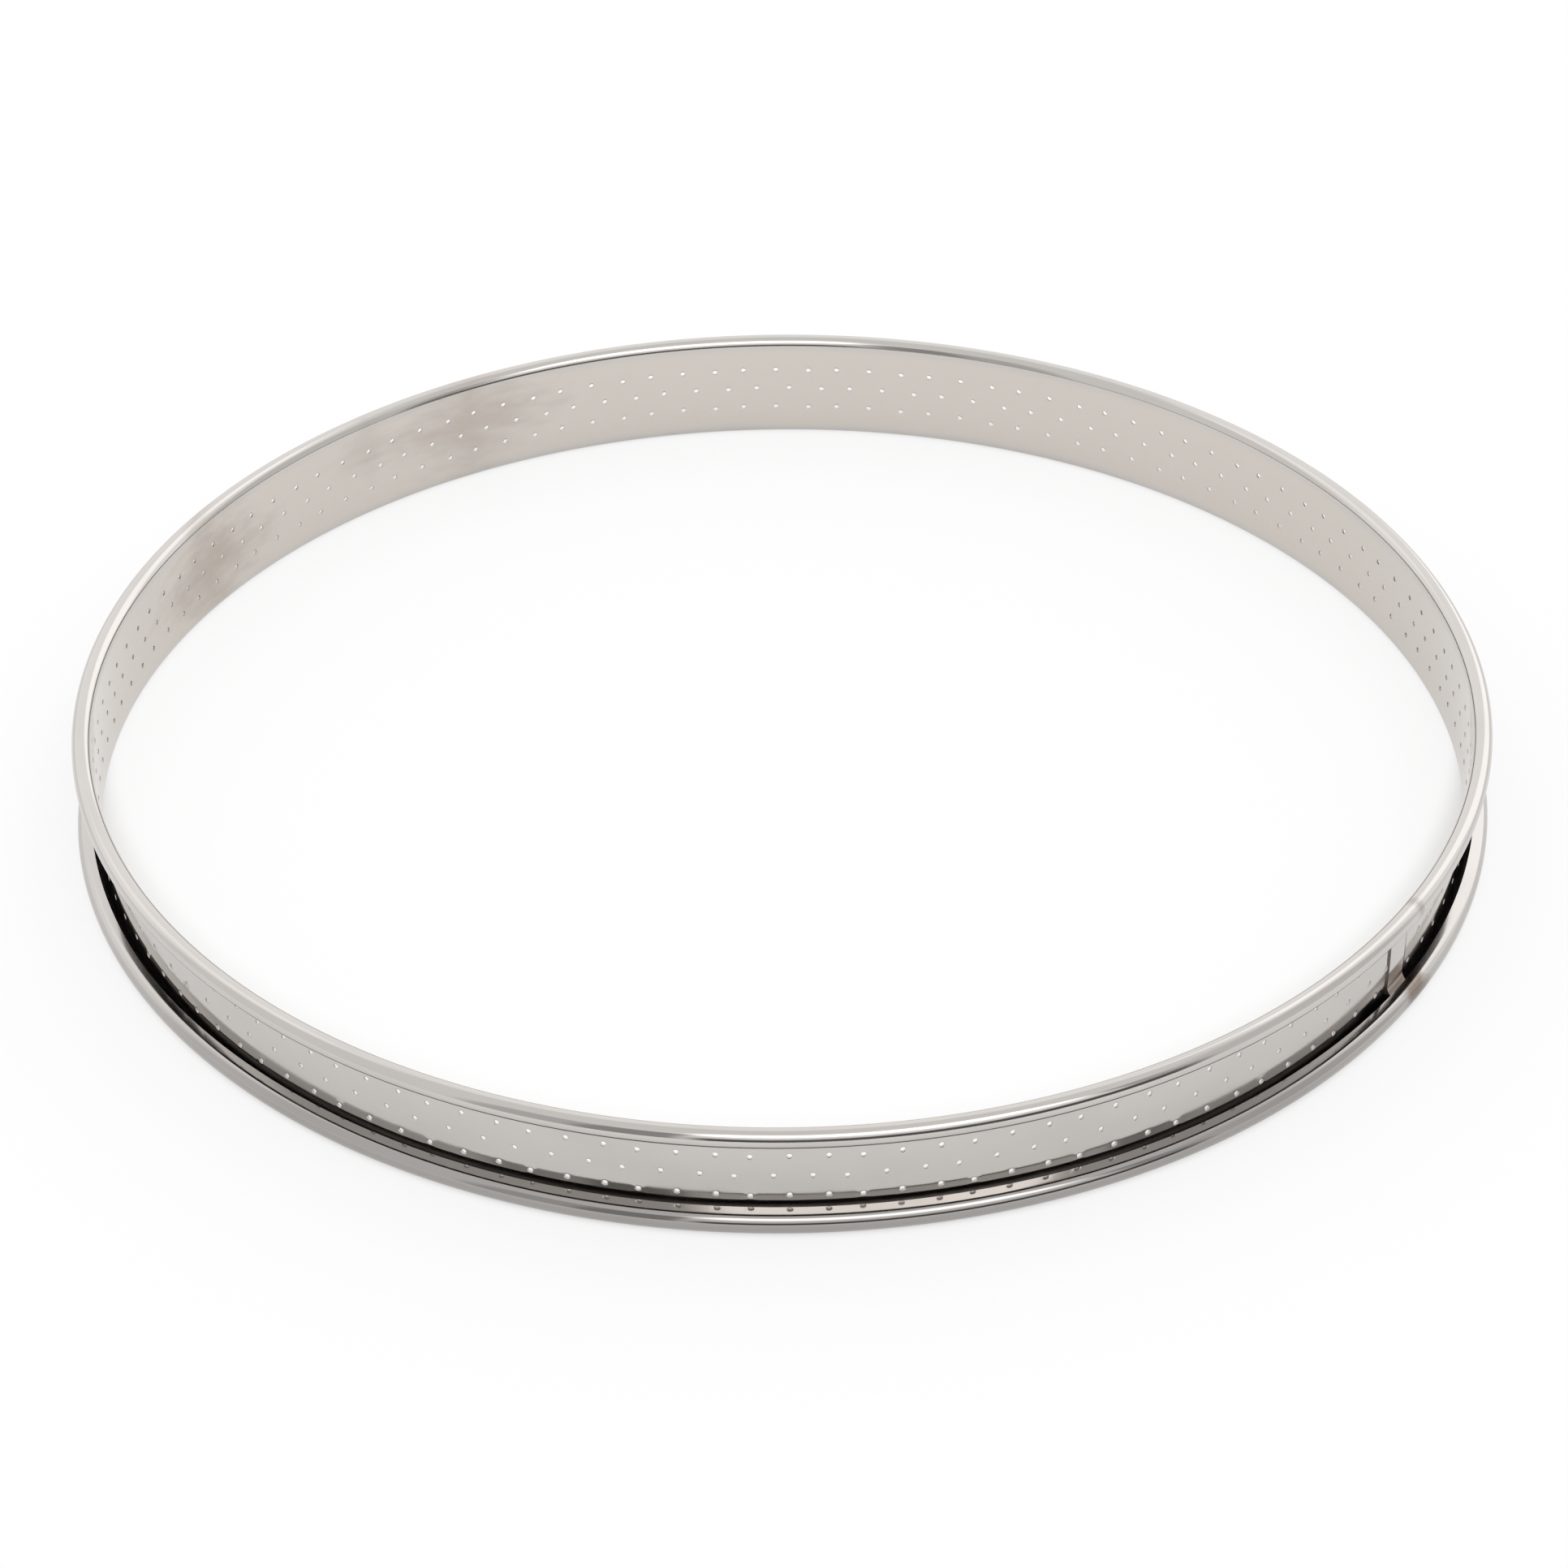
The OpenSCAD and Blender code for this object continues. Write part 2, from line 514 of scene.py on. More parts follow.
class Strip(Sheet):
    """The strip bent round, with a roll along each edge and rows of punched holes."""

    def __init__(self, sizes):
        super().__init__(sizes)
        self.start = sizes.butt_gap / 2 / self.wall_mid
        self.end = 2 * math.pi - self.start
        # Each roll's radius at the wall, its height there, and its section
        low = Roll(sizes.bottom_bead_d, sizes.tight_d, sizes.tight_turn)
        self.low_roll = (self.wall_in, sizes.bottom_bead_d / 2, low)
        opening = math.acos(1 - (sizes.sheet_t + sizes.curl_gap) / (sizes.top_bead_d / 2))
        high = Roll(sizes.top_bead_d, sizes.top_bead_d, math.pi - opening)
        high_z = sizes.height - sizes.top_bead_d / 2
        self.high_roll = (self.wall_in + self.widening(high_z)[0], high_z, high)
        # The lines of each face, from the tip of the lower roll to that of the upper one
        self.lines = {INNER: [], OUTER: []}

    def on_wall(self, layer, angle, height, sunk=(0.0, 0.0, 0.0)):
        """(point, normal) on a face of the wall. sunk is a dent's depth there and its slopes."""
        radius, facing = (self.wall_in, -1.0) if layer == INNER else (self.wall_out, 1.0)
        wider, lean = self.widening(height)
        depth, along, up = sunk
        point = self.point(angle, radius + wider - depth, height, height, layer)
        return point, self.direction(angle, facing, facing * along, facing * (up - lean))

    def gap(self, side, angle):
        """Gap between a roll's tip and the wall, at an angle from the seam."""
        if side > 0:
            return self.sizes.curl_gap
        from_front = math.remainder(self.sizes.seam_angle + angle + math.pi / 2, 2 * math.pi)
        share = (abs(from_front) - GAP_WIDENS) / (GAP_WIDEST - GAP_WIDENS)
        share = min(max(share, 0.0), 1.0)
        return self.sizes.curl_gap + self.sizes.open_side * share**2 * (3 - 2 * share)

    def roll_line(self, layer, roll, side, share):
        """Line round the ring on a roll, at a share of its length from the wall to its tip."""
        inner, height, section = roll
        line = []
        for column in range(ROLL_COLUMNS + 1):
            angle = self.start + (self.end - self.start) * column / ROLL_COLUMNS
            length = share * section.length(self.sizes.sheet_t + self.gap(side, angle))
            out, up, turned = section.place(length)
            c, s = -math.cos(turned), math.sin(turned)
            facing = 1.0
            if layer == OUTER:
                out, up, facing = out - c * self.sizes.sheet_t, up - s * self.sizes.sheet_t, -1.0
            across = height + side * length
            point = self.point(angle, inner + out, height + side * up, across, layer)
            line.append((angle, point, self.direction(angle, facing * c, up=facing * side * s)))
        return height + side * share, line

    def roll(self, layer, roll, side):
        """One face of a roll. side is 1 for the upper roll and -1 for the lower one."""
        steps = ROLL_STEPS if layer == INNER else HOLLOW_STEPS
        lines = [self.roll_line(layer, roll, side, step / steps) for step in range(steps + 1)]
        for (_, low), (_, high) in zip(lines, lines[1:]):
            self.band(low, high, POLISHED if layer == INNER else HOLLOW)
        return lines

    def depth(self, distance, dent_depth):
        """Depth of the dish and dent at a distance from a hole's middle, and its slope."""
        hole, dish = self.sizes.hole_d / 2, self.sizes.dish_d / 2
        depth = slope = 0.0
        if distance < dish:
            share = (dish - distance) / (dish - hole)
            depth += self.sizes.dish_depth * share**2
            slope -= 2 * self.sizes.dish_depth * share / (dish - hole)
        share = distance / (self.sizes.dent_d / 2)
        if share < 1:
            depth += dent_depth * (1 - share**2) ** 2
            slope -= 4 * dent_depth * share * (1 - share**2) / (self.sizes.dent_d / 2)
        return depth, slope

    def hole_rings(self):
        """Radii of the rings of points round a hole, from its edge to the edge of its dent."""
        sizes = self.sizes
        hole, dish, dent = sizes.hole_d / 2, sizes.dish_d / 2, sizes.dent_d / 2
        return [*(hole + (dish - hole) * share for share in DISH_RINGS), (dish + dent) / 2]

    def hole_ring(self, layer, middle, height, ring, dent_depth):
        """One ring of (point, normal) round a hole."""
        depth, slope = self.depth(ring, dent_depth)
        made = []
        for step in range(HOLE_POINTS):
            turned = math.pi / 4 + 2 * math.pi * step / HOLE_POINTS
            along, up = math.cos(turned), math.sin(turned)
            angle = middle + ring * along / self.wall_mid
            sunk = (depth, slope * along, slope * up)
            made.append(self.on_wall(layer, angle, height + ring * up, sunk))
        return made

    def post(self, layer, angle, heights):
        """Upright line of points on the wall."""
        return [(angle, *self.on_wall(layer, angle, z)) for z in heights]

    def cell(self, layer, hole, height, left, right, sides):
        """The square of wall round one hole, between two posts. Gives back the hole's edge."""
        (middle, column), (half, near) = hole, sides
        drop, dent_depth = 0.0, self.sizes.dent_depth
        if column == 0:
            drop, dent_depth = self.sizes.column_drop, self.sizes.first_dent
        low, high = [], []
        for line, z in ((low, height - half), (high, height + half)):
            for along in (-near, near):
                angle = middle + along / self.wall_mid
                line.append((angle, *self.on_wall(layer, angle, z)))
        # The square's edge, from its upper right corner round to the left
        frame_points = [right[3], high[1], high[0], left[3], left[2], left[1]]
        frame_points += [left[0], low[0], low[1], right[0], right[1], right[2]]
        rings = [self.hole_ring(layer, middle, height - drop, ring, dent_depth)
                 for ring in self.hole_rings()]
        rings.append([corner[1:] for corner in frame_points])
        for inside, outside in zip(rings, rings[1:]):
            for step in range(HOLE_POINTS):
                after = (step + 1) % HOLE_POINTS
                self.face([inside[step], inside[after], outside[after], outside[step]])
        return rings[0], low, high

    def row(self, layer, height, holes):
        """One row of holes on one face, as a strip of cells and plain wall between posts."""
        half = self.sizes.dent_d / 2
        near = half * math.tan(math.pi / 4 - 2 * math.pi / HOLE_POINTS)
        heights = [height - half, height - near, height + near, height + half]
        lines = [[] for _ in heights]
        edges = []

        def set_post(angle):
            """A post, whose points join the row's lines."""
            made = self.post(layer, angle, heights)
            for line, corner in zip(lines, made):
                line.append(corner)
            return made

        def plain(before, angle):
            """Plain wall from the last post up to an angle."""
            length = (angle - before[0][0]) * self.wall_mid
            count = max(1, math.ceil(length / PLAIN_LENGTH))
            first = before[0][0]
            for step in range(1, count + 1):
                after = set_post(first + (angle - first) * step / count)
                for k in range(3):
                    corners = [before[k], after[k], after[k + 1], before[k + 1]]
                    self.face([corner[1:] for corner in corners])
                before = after
            return before

        last = set_post(self.start)
        for hole in holes:
            left = plain(last, hole[0] - half / self.wall_mid)
            right = self.post(layer, hole[0] + half / self.wall_mid, heights)
            edge, low, high = self.cell(layer, hole, height, left, right, (half, near))
            edges.append(edge)
            for line, corners in zip(lines, (low, [], [], high)):
                line.extend(corners)
            for line, corner in zip(lines, right):
                line.append(corner)
            last = right
        plain(last, self.end)
        return list(zip(heights, lines)), edges

    def hole_wall(self, inner, outer):
        """Punched wall of a hole, from one face of the sheet to the other."""
        count = len(inner)
        middle = [sum(self.places[c[0]][k] for c in inner) / count for k in range(3)]

        def facing(corner):
            """Direction from a corner towards the hole's axis."""
            place = self.places[corner[0]]
            inward = Vector([middle[k] - place[k] for k in range(3)])
            across = Vector(middle).normalized()
            inward -= across * inward.dot(across)
            return tuple(inward.normalized())

        for step in range(count):
            corners = [inner[step], inner[(step + 1) % count]]
            corners += [outer[(step + 1) % count], outer[step]]
            self.face([(corner[0], facing(corner)) for corner in corners], PUNCHED)

    def holes(self, row):
        """(angle from the seam, column) of a row's holes, without those that the lap covers."""
        sizes = self.sizes
        reach = sizes.hole_d / 2 + sizes.seam_clearance
        found = []
        for stroke in range(sizes.strokes):
            for column in range(sizes.stroke_holes):
                length = column * sizes.hole_pitch - (row % 2) * sizes.stagger
                angle = stroke * 2 * math.pi / sizes.strokes
                angle += (length + sizes.first_stroke) / self.wall_mid
                turned = math.remainder(angle, 2 * math.pi) * self.wall_mid
                if turned < -sizes.lap_w - reach or turned > sizes.joggle_w + reach:
                    found.append((angle % (2 * math.pi), column))
        return sorted(found)

    def end_faces(self):
        """Sheared ends of the strip, at the slit between them."""
        for end, facing in ((0, -1.0), (-1, 1.0)):
            sides = []
            for layer in (INNER, OUTER):
                side = []
                for across, line in self.lines[layer]:
                    angle, point, _ = line[end]
                    side.append((across, point, self.direction(angle, 0.0, facing)))
                sides.append(side)
            self.band(*sides, CUT_EDGE)

    def build(self):
        """Lays both faces from the lower roll to the upper one, and then all the edges."""
        sizes = self.sizes
        edges = {}
        for layer in (INNER, OUTER):
            lines = self.roll(layer, self.low_roll, -1)[::-1]
            edges[layer] = []
            for row in range(sizes.rows):
                height = sizes.bottom_bead_d + sizes.first_row_up + row * sizes.row_pitch
                row_lines, row_edges = self.row(layer, height, self.holes(row))
                self.band(lines[-1][1], row_lines[0][1])
                lines += row_lines
                edges[layer] += row_edges
            upper = self.roll(layer, self.high_roll, 1)
            self.band(lines[-1][1], upper[0][1])
            self.lines[layer] = lines + upper
        for inner, outer in zip(edges[INNER], edges[OUTER]):
            self.hole_wall(inner, outer)
        for end in (0, -1):
            self.tip(self.lines[INNER][end][1], self.lines[OUTER][end][1])
        self.end_faces()

    def tip(self, inner, outer):
        """Sheared edge along the tip of a roll."""
        sides = []
        for line in (inner, outer):
            side = []
            for angle, point, normal in line:
                away = 1.0 if self.places[point][2] < self.sizes.height / 2 else -1.0
                up = TIP_UP * away * math.hypot(normal[0], normal[1])
                side.append((angle, point, self.direction(angle, -TIP_IN, up=up)))
            sides.append(side)
        self.band(*sides, CUT_EDGE)


class Lap(Sheet):
    """The tab that laps over the outside of the wall, with its joggle."""

    # Steps along the tab, along its joggle, and up its fillet as up the rest of it
    STEPS = 6
    JOGGLE_STEPS = 6
    RISERS = 8

    def stations(self):
        """(length from the seam, share of the tab's rise, slope of that share) along the tab."""
        sizes = self.sizes
        made = [(sizes.lap_w * (step / self.STEPS - 1), 1.0, 0.0) for step in range(self.STEPS)]
        for step in range(self.JOGGLE_STEPS + 1):
            share = step / self.JOGGLE_STEPS
            rise = 0.5 + 0.5 * math.cos(math.pi * share)
            slope = -0.5 * math.pi * math.sin(math.pi * share) / sizes.joggle_w
            made.append((sizes.joggle_w * share, rise, slope))
        return made

    def build(self):
        """Lays the tab's face, and its edges down into the wall."""
        sizes, stations = self.sizes, self.stations()
        low = sizes.lap_low
        high = sizes.height - sizes.top_bead_d - sizes.lap_margin
        top = low + sizes.lap_fillet
        swept = sizes.curl_gap - FOOT_SHORT
        heights = [low + (top - low) * step / self.RISERS for step in range(self.RISERS)]
        heights += [top + (high - top) * step / self.RISERS for step in range(self.RISERS + 1)]
        face, base = [], []
        for z in heights:
            wider, lean = self.widening(z)
            foot = self.wall_out + wider - sizes.weld_depth
            share = max(0.0, (top - z) / sizes.lap_fillet)
            thick = sizes.sheet_t + swept * share**2
            sweep = -2 * swept * share / sizes.lap_fillet
            face_line, base_line = [], []
            for length, rise, slope in stations:
                angle = length / self.wall_mid
                radius = self.wall_out + wider + rise * thick
                normal = self.direction(angle, 1.0, -slope * thick, -lean - rise * sweep)
                face_line.append((length, self.point(angle, radius, z, z, LAP), normal))
                base_line.append((length, self.point(angle, foot, z, z, LAP), normal))
            face.append(face_line)
            base.append(base_line)
        for below, above in zip(face, face[1:]):
            self.band(below, above)
        for side, up in ((0, -1.0), (-1, 1.0)):
            lines = []
            for line in (base[side], face[side]):
                lines.append([(key, point, (0.0, 0.0, up)) for key, point, _ in line])
            self.band(*lines, CUT_EDGE)
        for end, along in ((0, -1.0), (-1, 1.0)):
            facing = self.direction(stations[end][0] / self.wall_mid, 0.0, along)
            sides = []
            for lines in (base, face):
                sides.append([(z, line[end][1], facing) for z, line in zip(heights, lines)])
            self.band(*sides, CUT_EDGE)


class Link:
    """A shader socket on which Python's operators add Math nodes."""

    def __init__(self, shader, socket):
        self.shader, self.socket = shader, socket

    def maths(self, operation, *others, swapped=False):
        """Math node on this value and others. swapped puts this one last."""
        values = [self, *others]
        if swapped:
            values.reverse()
        return self.shader.node("Math", {"operation": operation}, dict(enumerate(values)))

    def __add__(self, other):
        return self.maths("ADD", other)

    def __mul__(self, other):
        return self.maths("MULTIPLY", other)

    def __sub__(self, other):
        return self.maths("SUBTRACT", other)

    def __rsub__(self, other):
        return self.maths("SUBTRACT", other, swapped=True)

    __radd__ = __add__
    __rmul__ = __mul__


class Shader:
    """One node tree, and the method that adds any node to it."""

    def __init__(self, tree):
        self.tree = tree
        tree.nodes.clear()

    def node(self, kind, settings=None, inputs=None, output=0):
        """Adds a node, sets it up, and fills its inputs with values or links."""
        made = self.tree.nodes.new("ShaderNode" + kind)
        for name, value in (settings or {}).items():
            setattr(made, name, value)
        for name, value in (inputs or {}).items():
            if isinstance(value, Link):
                self.tree.links.new(value.socket, made.inputs[name])
            else:
                made.inputs[name].default_value = value
        return Link(self, made.outputs[output] if made.outputs else None)

    def smooth(self, value, low, high):
        """0 below low, 1 above high, and a smooth rise between them."""
        settings = {"interpolation_type": "SMOOTHSTEP"}
        inputs = {"Value": value, "From Min": low, "From Max": high}
        return self.node("MapRange", settings, inputs)

    def noise(self, vector, scale, detail=2.0):
        """Noise on a vector whose parts are scaled first, each by its own number."""
        scaled = self.node("VectorMath", {"operation": "MULTIPLY"}, {0: vector, 1: scale})
        inputs = {"Vector": scaled, "Scale": 1.0, "Detail": detail}
        return self.node("TexNoise", {"noise_dimensions": "3D"}, inputs)

    def parts(self, vector):
        """The three parts of a vector."""
        outputs = self.node("SeparateXYZ", {}, {0: vector}).socket.node.outputs
        return [Link(self, output) for output in outputs]

    def strip(self):
        """Place on the strip: along it from the seam, across it, and on which of its faces."""
        return self.node("Attribute", {"attribute_name": "strip"}, output=1)

    def mix(self, share, first, second):
        """Colour from first to second."""
        inputs = {"Factor": share, 6: first, 7: second}
        return self.node("Mix", {"data_type": "RGBA"}, inputs, 2)

    def metal(self, colour, roughness, **more):
        """Gives the material a metal surface."""
        inputs = {"Base Color": colour, "Metallic": 1.0, "Roughness": roughness, **more}
        surface = self.node("BsdfPrincipled", {}, inputs)
        self.node("OutputMaterial", {}, {"Surface": surface})


def new_material(name):
    """A material by that name, and the shader that fills it."""
    material = bpy.data.materials.new(name)
    material.use_nodes = True
    return material, Shader(material.node_tree)


# Scales of the finishes' noises, per metre along the strip and across it, and from face to face
LINES = (60.0, 9000.0, 1.0)
PATCHES = (45.0, 90.0, 9.0)
CLOUDS = (160.0, 400.0, 1.0)
WAVES = (70.0, 120.0, 7.0)
BURNISH = (4000.0, 4000.0, 1.0)
STREAKS = (200.0, 3000.0, 1.0)

# Range of their noise in which the patches of haze set in
HAZE_SETS_IN = (0.4, 0.7)
# Brightness of the dull sheet beside the bright, and how far patches and lines go towards it
DULL = 0.93
DULL_PATCHES, DULL_LINES = 0.5, 0.3
# How much the roughness varies from line to line
LINE_ROUGHNESS = 0.04
# Height of the faint waves that the polish leaves
WAVE_HEIGHT = 0.02 * MM
# Brightness of the burnish beside a cut edge's own colour
BURNISHED = 1.4
# Roughness of a cut edge and of the hollow side: the least, and what the noise adds
CUT_ROUGHNESS, HOLLOW_ROUGHNESS = (0.3, 0.2), (0.25, 0.2)

# Places across the strip between which a look sets in or ends. On the wall they are heights, and
# they run on along the rolls, down from 2 mm on the lower one and up from 18.35 mm on the upper.
WALL_BEGINS, WALL_ENDS = (1 * MM, 3 * MM), (17 * MM, 19 * MM)
LOW_ROLL_ENDS, HIGH_ROLL_BEGINS = (0.5 * MM, 2 * MM), (19 * MM, 20 * MM)
UNDERSIDE_BEGINS = (24 * MM, 24.5 * MM)
LOW_TINT_AND_SHADE_ENDS, FOOT_TINT_AND_SHADE_ENDS = (-1 * MM, 6 * MM), (4.5 * MM, 6.5 * MM)

# Smudges of the wall: place along the strip from the seam, height, reach and strength
SMUDGES = (
    (369 * MM, 10 * MM, 26 * MM, 0.6),
    (305 * MM, 12 * MM, 26 * MM, 0.45),
    (327 * MM, 14 * MM, 14 * MM, 0.25),
)
# How much less they reach up than along, and how much they add to the roughness
SMUDGE_SQUAT, SMUDGE_ROUGHNESS = 1.5, 0.15

# Colour of the painted shade in the dark between the wall and a roll, and how far it darkens the
# lower roll and the upper roll's underside
SHADE_COLOUR = (0.05, 0.05, 0.05, 1.0)
LOW_ROLL_SHADE, UNDERSIDE_SHADE = 0.35, 0.85
# Places along Y between which the lower roll's painted shade fades behind the front, and what is
# left of it there
FRONT_ENDS, LOW_ROLL_SHADE_BEHIND = (-100 * MM, -30 * MM), 0.2

# The weld's heat tint on the lower and on the upper roll, which on the lower roll and the lap's
# foot is also painted shade
# in the notch under the lap: the distances from the seam between which it fades, and how far its
# edge wanders
LOW_TINT_AND_SHADE_FADE, HIGH_HEAT = ((1.5 * MM, 5 * MM), 6 * MM), ((0.2 * MM, 1.6 * MM), 2 * MM)
# How far the tint and painted shade darken the lower roll and the lap's foot, and how far the tint
# darkens the upper roll
LOW_TINT_AND_SHADE, HIGH_TINT = 0.8, 0.3

# How near to a face's own number a point counts as on that face
ON_FACE = 0.2


def painted_roll_shade(shader, across):
    """Painted shade: how far the sheet is darkened on the lower roll, most at the front, and under
    the upper roll.
    """
    front = 1 - shader.smooth(shader.parts(shader.node("NewGeometry"))[1], *FRONT_ENDS)
    level = front * (1 - LOW_ROLL_SHADE_BEHIND) + LOW_ROLL_SHADE_BEHIND
    lower_roll_shade = (1 - shader.smooth(across, *LOW_ROLL_ENDS)) * level
    return lower_roll_shade * LOW_ROLL_SHADE + shader.smooth(across, *UNDERSIDE_BEGINS) * UNDERSIDE_SHADE


def heat_tint_and_shade(shader, strip_parts, clouds, turn):
    """How far the weld's heat tint, with painted shade at the lap's foot and on the lower roll, has
    coloured the sheet. turn is the strip's length once round.
    """
    along, across, layer = strip_parts
    from_seam = along.maths("PINGPONG", turn / 2)

    def near_seam(fade, wander):
        """Tint round the seam, which on the lower roll is also painted shade, with an uneven edge.
        """
        return 1 - shader.smooth(from_seam + (clouds - 0.5) * wander, *fade)

    on_lap = shader.smooth(layer, OUTER + ON_FACE, LAP - ON_FACE)
    foot = on_lap * (1 - shader.smooth(across, *FOOT_TINT_AND_SHADE_ENDS))
    low = near_seam(*LOW_TINT_AND_SHADE_FADE) * (1 - shader.smooth(across, *LOW_TINT_AND_SHADE_ENDS)) + foot
    high = near_seam(*HIGH_HEAT) * shader.smooth(across, *HIGH_ROLL_BEGINS)
    return low * LOW_TINT_AND_SHADE + high * HIGH_TINT


def polished_steel(look, turn):
    """Polished sheet: hazed in patches, with fine lines along the strip, a lighter inner wall as
    painted reflection, painted shade on the rolls, and a tint at the weld that is also painted
    shade at the lap's foot.
    """
    material, shader = new_material("polished stainless sheet")
    strip = shader.strip()
    along, across, layer = shader.parts(strip)
    lines = shader.noise(strip, LINES, 3.0)
    patches = shader.smooth(shader.noise(strip, PATCHES), *HAZE_SETS_IN)
    clouds = shader.noise(strip, CLOUDS, 4.0)
    dull = (*(DULL * part for part in look.steel), 1.0)
    colour = shader.mix(patches * DULL_PATCHES + lines * DULL_LINES, (*look.steel, 1.0), dull)
    roughness = look.gloss + patches * look.haze + (lines - 0.5) * LINE_ROUGHNESS
    on_wall = shader.smooth(across, *WALL_BEGINS) * (1 - shader.smooth(across, *WALL_ENDS))
    inner = on_wall * (1 - shader.smooth(layer, INNER + ON_FACE, OUTER - ON_FACE))
    # The inner wall takes the lighter, warmer copy of the steel, as painted reflection
    colour = shader.mix(inner, colour, (*look.inner, 1.0))
    for middle, height, reach, level in SMUDGES:
        beside, above = (along - middle).maths("ABSOLUTE"), (across - height).maths("ABSOLUTE")
        distance = beside + above * SMUDGE_SQUAT + (clouds - 0.5) * reach
        smudge = 1 - shader.smooth(distance, 0.0, reach)
        colour = shader.mix(smudge * level, colour, (*look.smudge, 1.0))
        roughness = roughness + smudge * SMUDGE_ROUGHNESS
    # Painted shade on the lower roll, most at the front, and under the upper roll
    colour = shader.mix(painted_roll_shade(shader, across), colour, SHADE_COLOUR)
    tinted_and_shaded = heat_tint_and_shade(shader, (along, across, layer), clouds, turn)
    # Weld's heat tint, and painted shade at the lap's foot and on the lower roll by the seam
    colour = shader.mix(tinted_and_shaded, colour, (*look.tint, 1.0))
    waves = shader.noise(strip, WAVES, 1.0)
    bump = {"Strength": 1.0, "Distance": WAVE_HEIGHT, "Height": waves}
    shader.metal(colour, roughness, Normal=shader.node("Bump", {}, bump))
    return material


def cut_steel(name, cut):
    """Punched or sheared edges: dull, with a finer burnish in places."""
    material, shader = new_material(name)
    burnish = shader.noise(shader.strip(), BURNISH)
    bright = (*(BURNISHED * part for part in cut), 1.0)
    least, more = CUT_ROUGHNESS
    shader.metal(shader.mix(burnish, (*cut, 1.0), bright), least + burnish * more)
    return material


def hollow_steel(look):
    """Side of the sheet that lies inside the rolls, which no polishing reaches: rough, and painted
    dark as shade in the hollow.
    """
    material, shader = new_material("hollow side")
    least, more = HOLLOW_ROUGHNESS
    shader.metal((*look.hollow, 1.0), least + shader.noise(shader.strip(), STREAKS) * more)
    return material


def hand_over(piece):
    """Says what a piece of the ring rides on."""
    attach(piece, "root")


class TARTRING_OT_strip(bpy.types.Operator):
    """Bend, roll and punch the strip"""

    bl_idname = "tart_ring.strip"
    bl_label = "Rolled Strip"

    def execute(self, context):
        strip = Strip(context.scene.tart_ring_sizes)
        strip.build()
        look = context.scene.tart_ring_steel
        finishes = {
            POLISHED: polished_steel(look, 2 * math.pi * strip.wall_mid),
            # The sheared edges' dark colour is partly painted shade
            CUT_EDGE: cut_steel("cut edge", look.cut),
            HOLLOW: hollow_steel(look),
            PUNCHED: cut_steel("punched wall", look.punched),
        }
        piece = strip.piece("rolled_strip", finishes.values())
        hand_over(piece)
        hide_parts("tart_ring")
        return {"FINISHED"}


class TARTRING_OT_lap(bpy.types.Operator):
    """Lap the strip's end over the wall"""

    bl_idname = "tart_ring.lap"
    bl_label = "Lapped Seam"

    def execute(self, context):
        lap = Lap(context.scene.tart_ring_sizes)
        lap.build()
        materials = [bpy.data.materials[name] for name in ("polished stainless sheet", "cut edge")]
        hand_over(lap.piece("lap_tab", materials))
        return {"FINISHED"}


# Panels of the studio: azimuth of the middle, half the width, lowest and highest elevation,
# width of the soft edge, all in degrees, and the level of the panel's light
PANELS = (
    (90.0, 75.0, 5.0, 60.0, 12.0, 1.15),
    (54.0, 18.0, 8.0, 56.0, 5.0, 1.55),
    (137.0, 14.0, 30.0, 60.0, 8.0, 1.3),
    (356.0, 20.0, -2.0, 45.0, 12.0, 0.75),
    (288.0, 33.0, 30.0, 68.0, 12.0, 1.25),
    (288.0, 33.0, 42.0, 62.0, 10.0, 2.8),
    (328.0, 6.0, -2.0, 45.0, 4.0, 0.5),
    (232.0, 9.0, -9.0, 45.0, 6.0, 0.6),
    (247.0, 7.5, -9.0, 45.0, 3.0, 0.36),
    (294.0, 37.0, -90.0, 16.0, 5.0, 0.12),
)
# Level of the light between the panels
OPEN_LIGHT = 0.9


def studio_light(world, level):
    """World with soft-edged bright and dark panels round the object. The camera sees it white."""
    world.use_nodes = True
    shader = Shader(world.node_tree)
    x, y, z = shader.parts(shader.node("TexCoord"))
    degrees = 180 / math.pi
    elevation = z.maths("ARCSINE") * degrees
    light = OPEN_LIGHT
    for azimuth, half, low, high, edge, brightness in PANELS:
        c, s = math.cos(math.radians(azimuth)), math.sin(math.radians(azimuth))
        beside, ahead = y * c - x * s, x * c + y * s
        turned = beside.maths("ARCTAN2", ahead).maths("ABSOLUTE") * degrees
        mask = 1 - shader.smooth(turned, half - edge / 2, half + edge / 2)
        mask = mask * shader.smooth(elevation, low - edge / 2, low + edge / 2)
        mask = mask * (1 - shader.smooth(elevation, high - edge / 2, high + edge / 2))
        light = light + (brightness - light) * mask
    light = light * level
    seen = shader.node("LightPath", output="Is Camera Ray")
    background = shader.node("Background", {}, {"Color": light + (1 - light) * seen})
    shader.node("OutputWorld", {}, {"Surface": background})


# Points round the floor's edge
FLOOR_POINTS = 96
# Radii between which the floor comes out from under the ring
RING_FOOT = (116 * MM, 121 * MM)
# How much of the floor's own look shows in the full shade
SHADE_SHOWS = 0.7


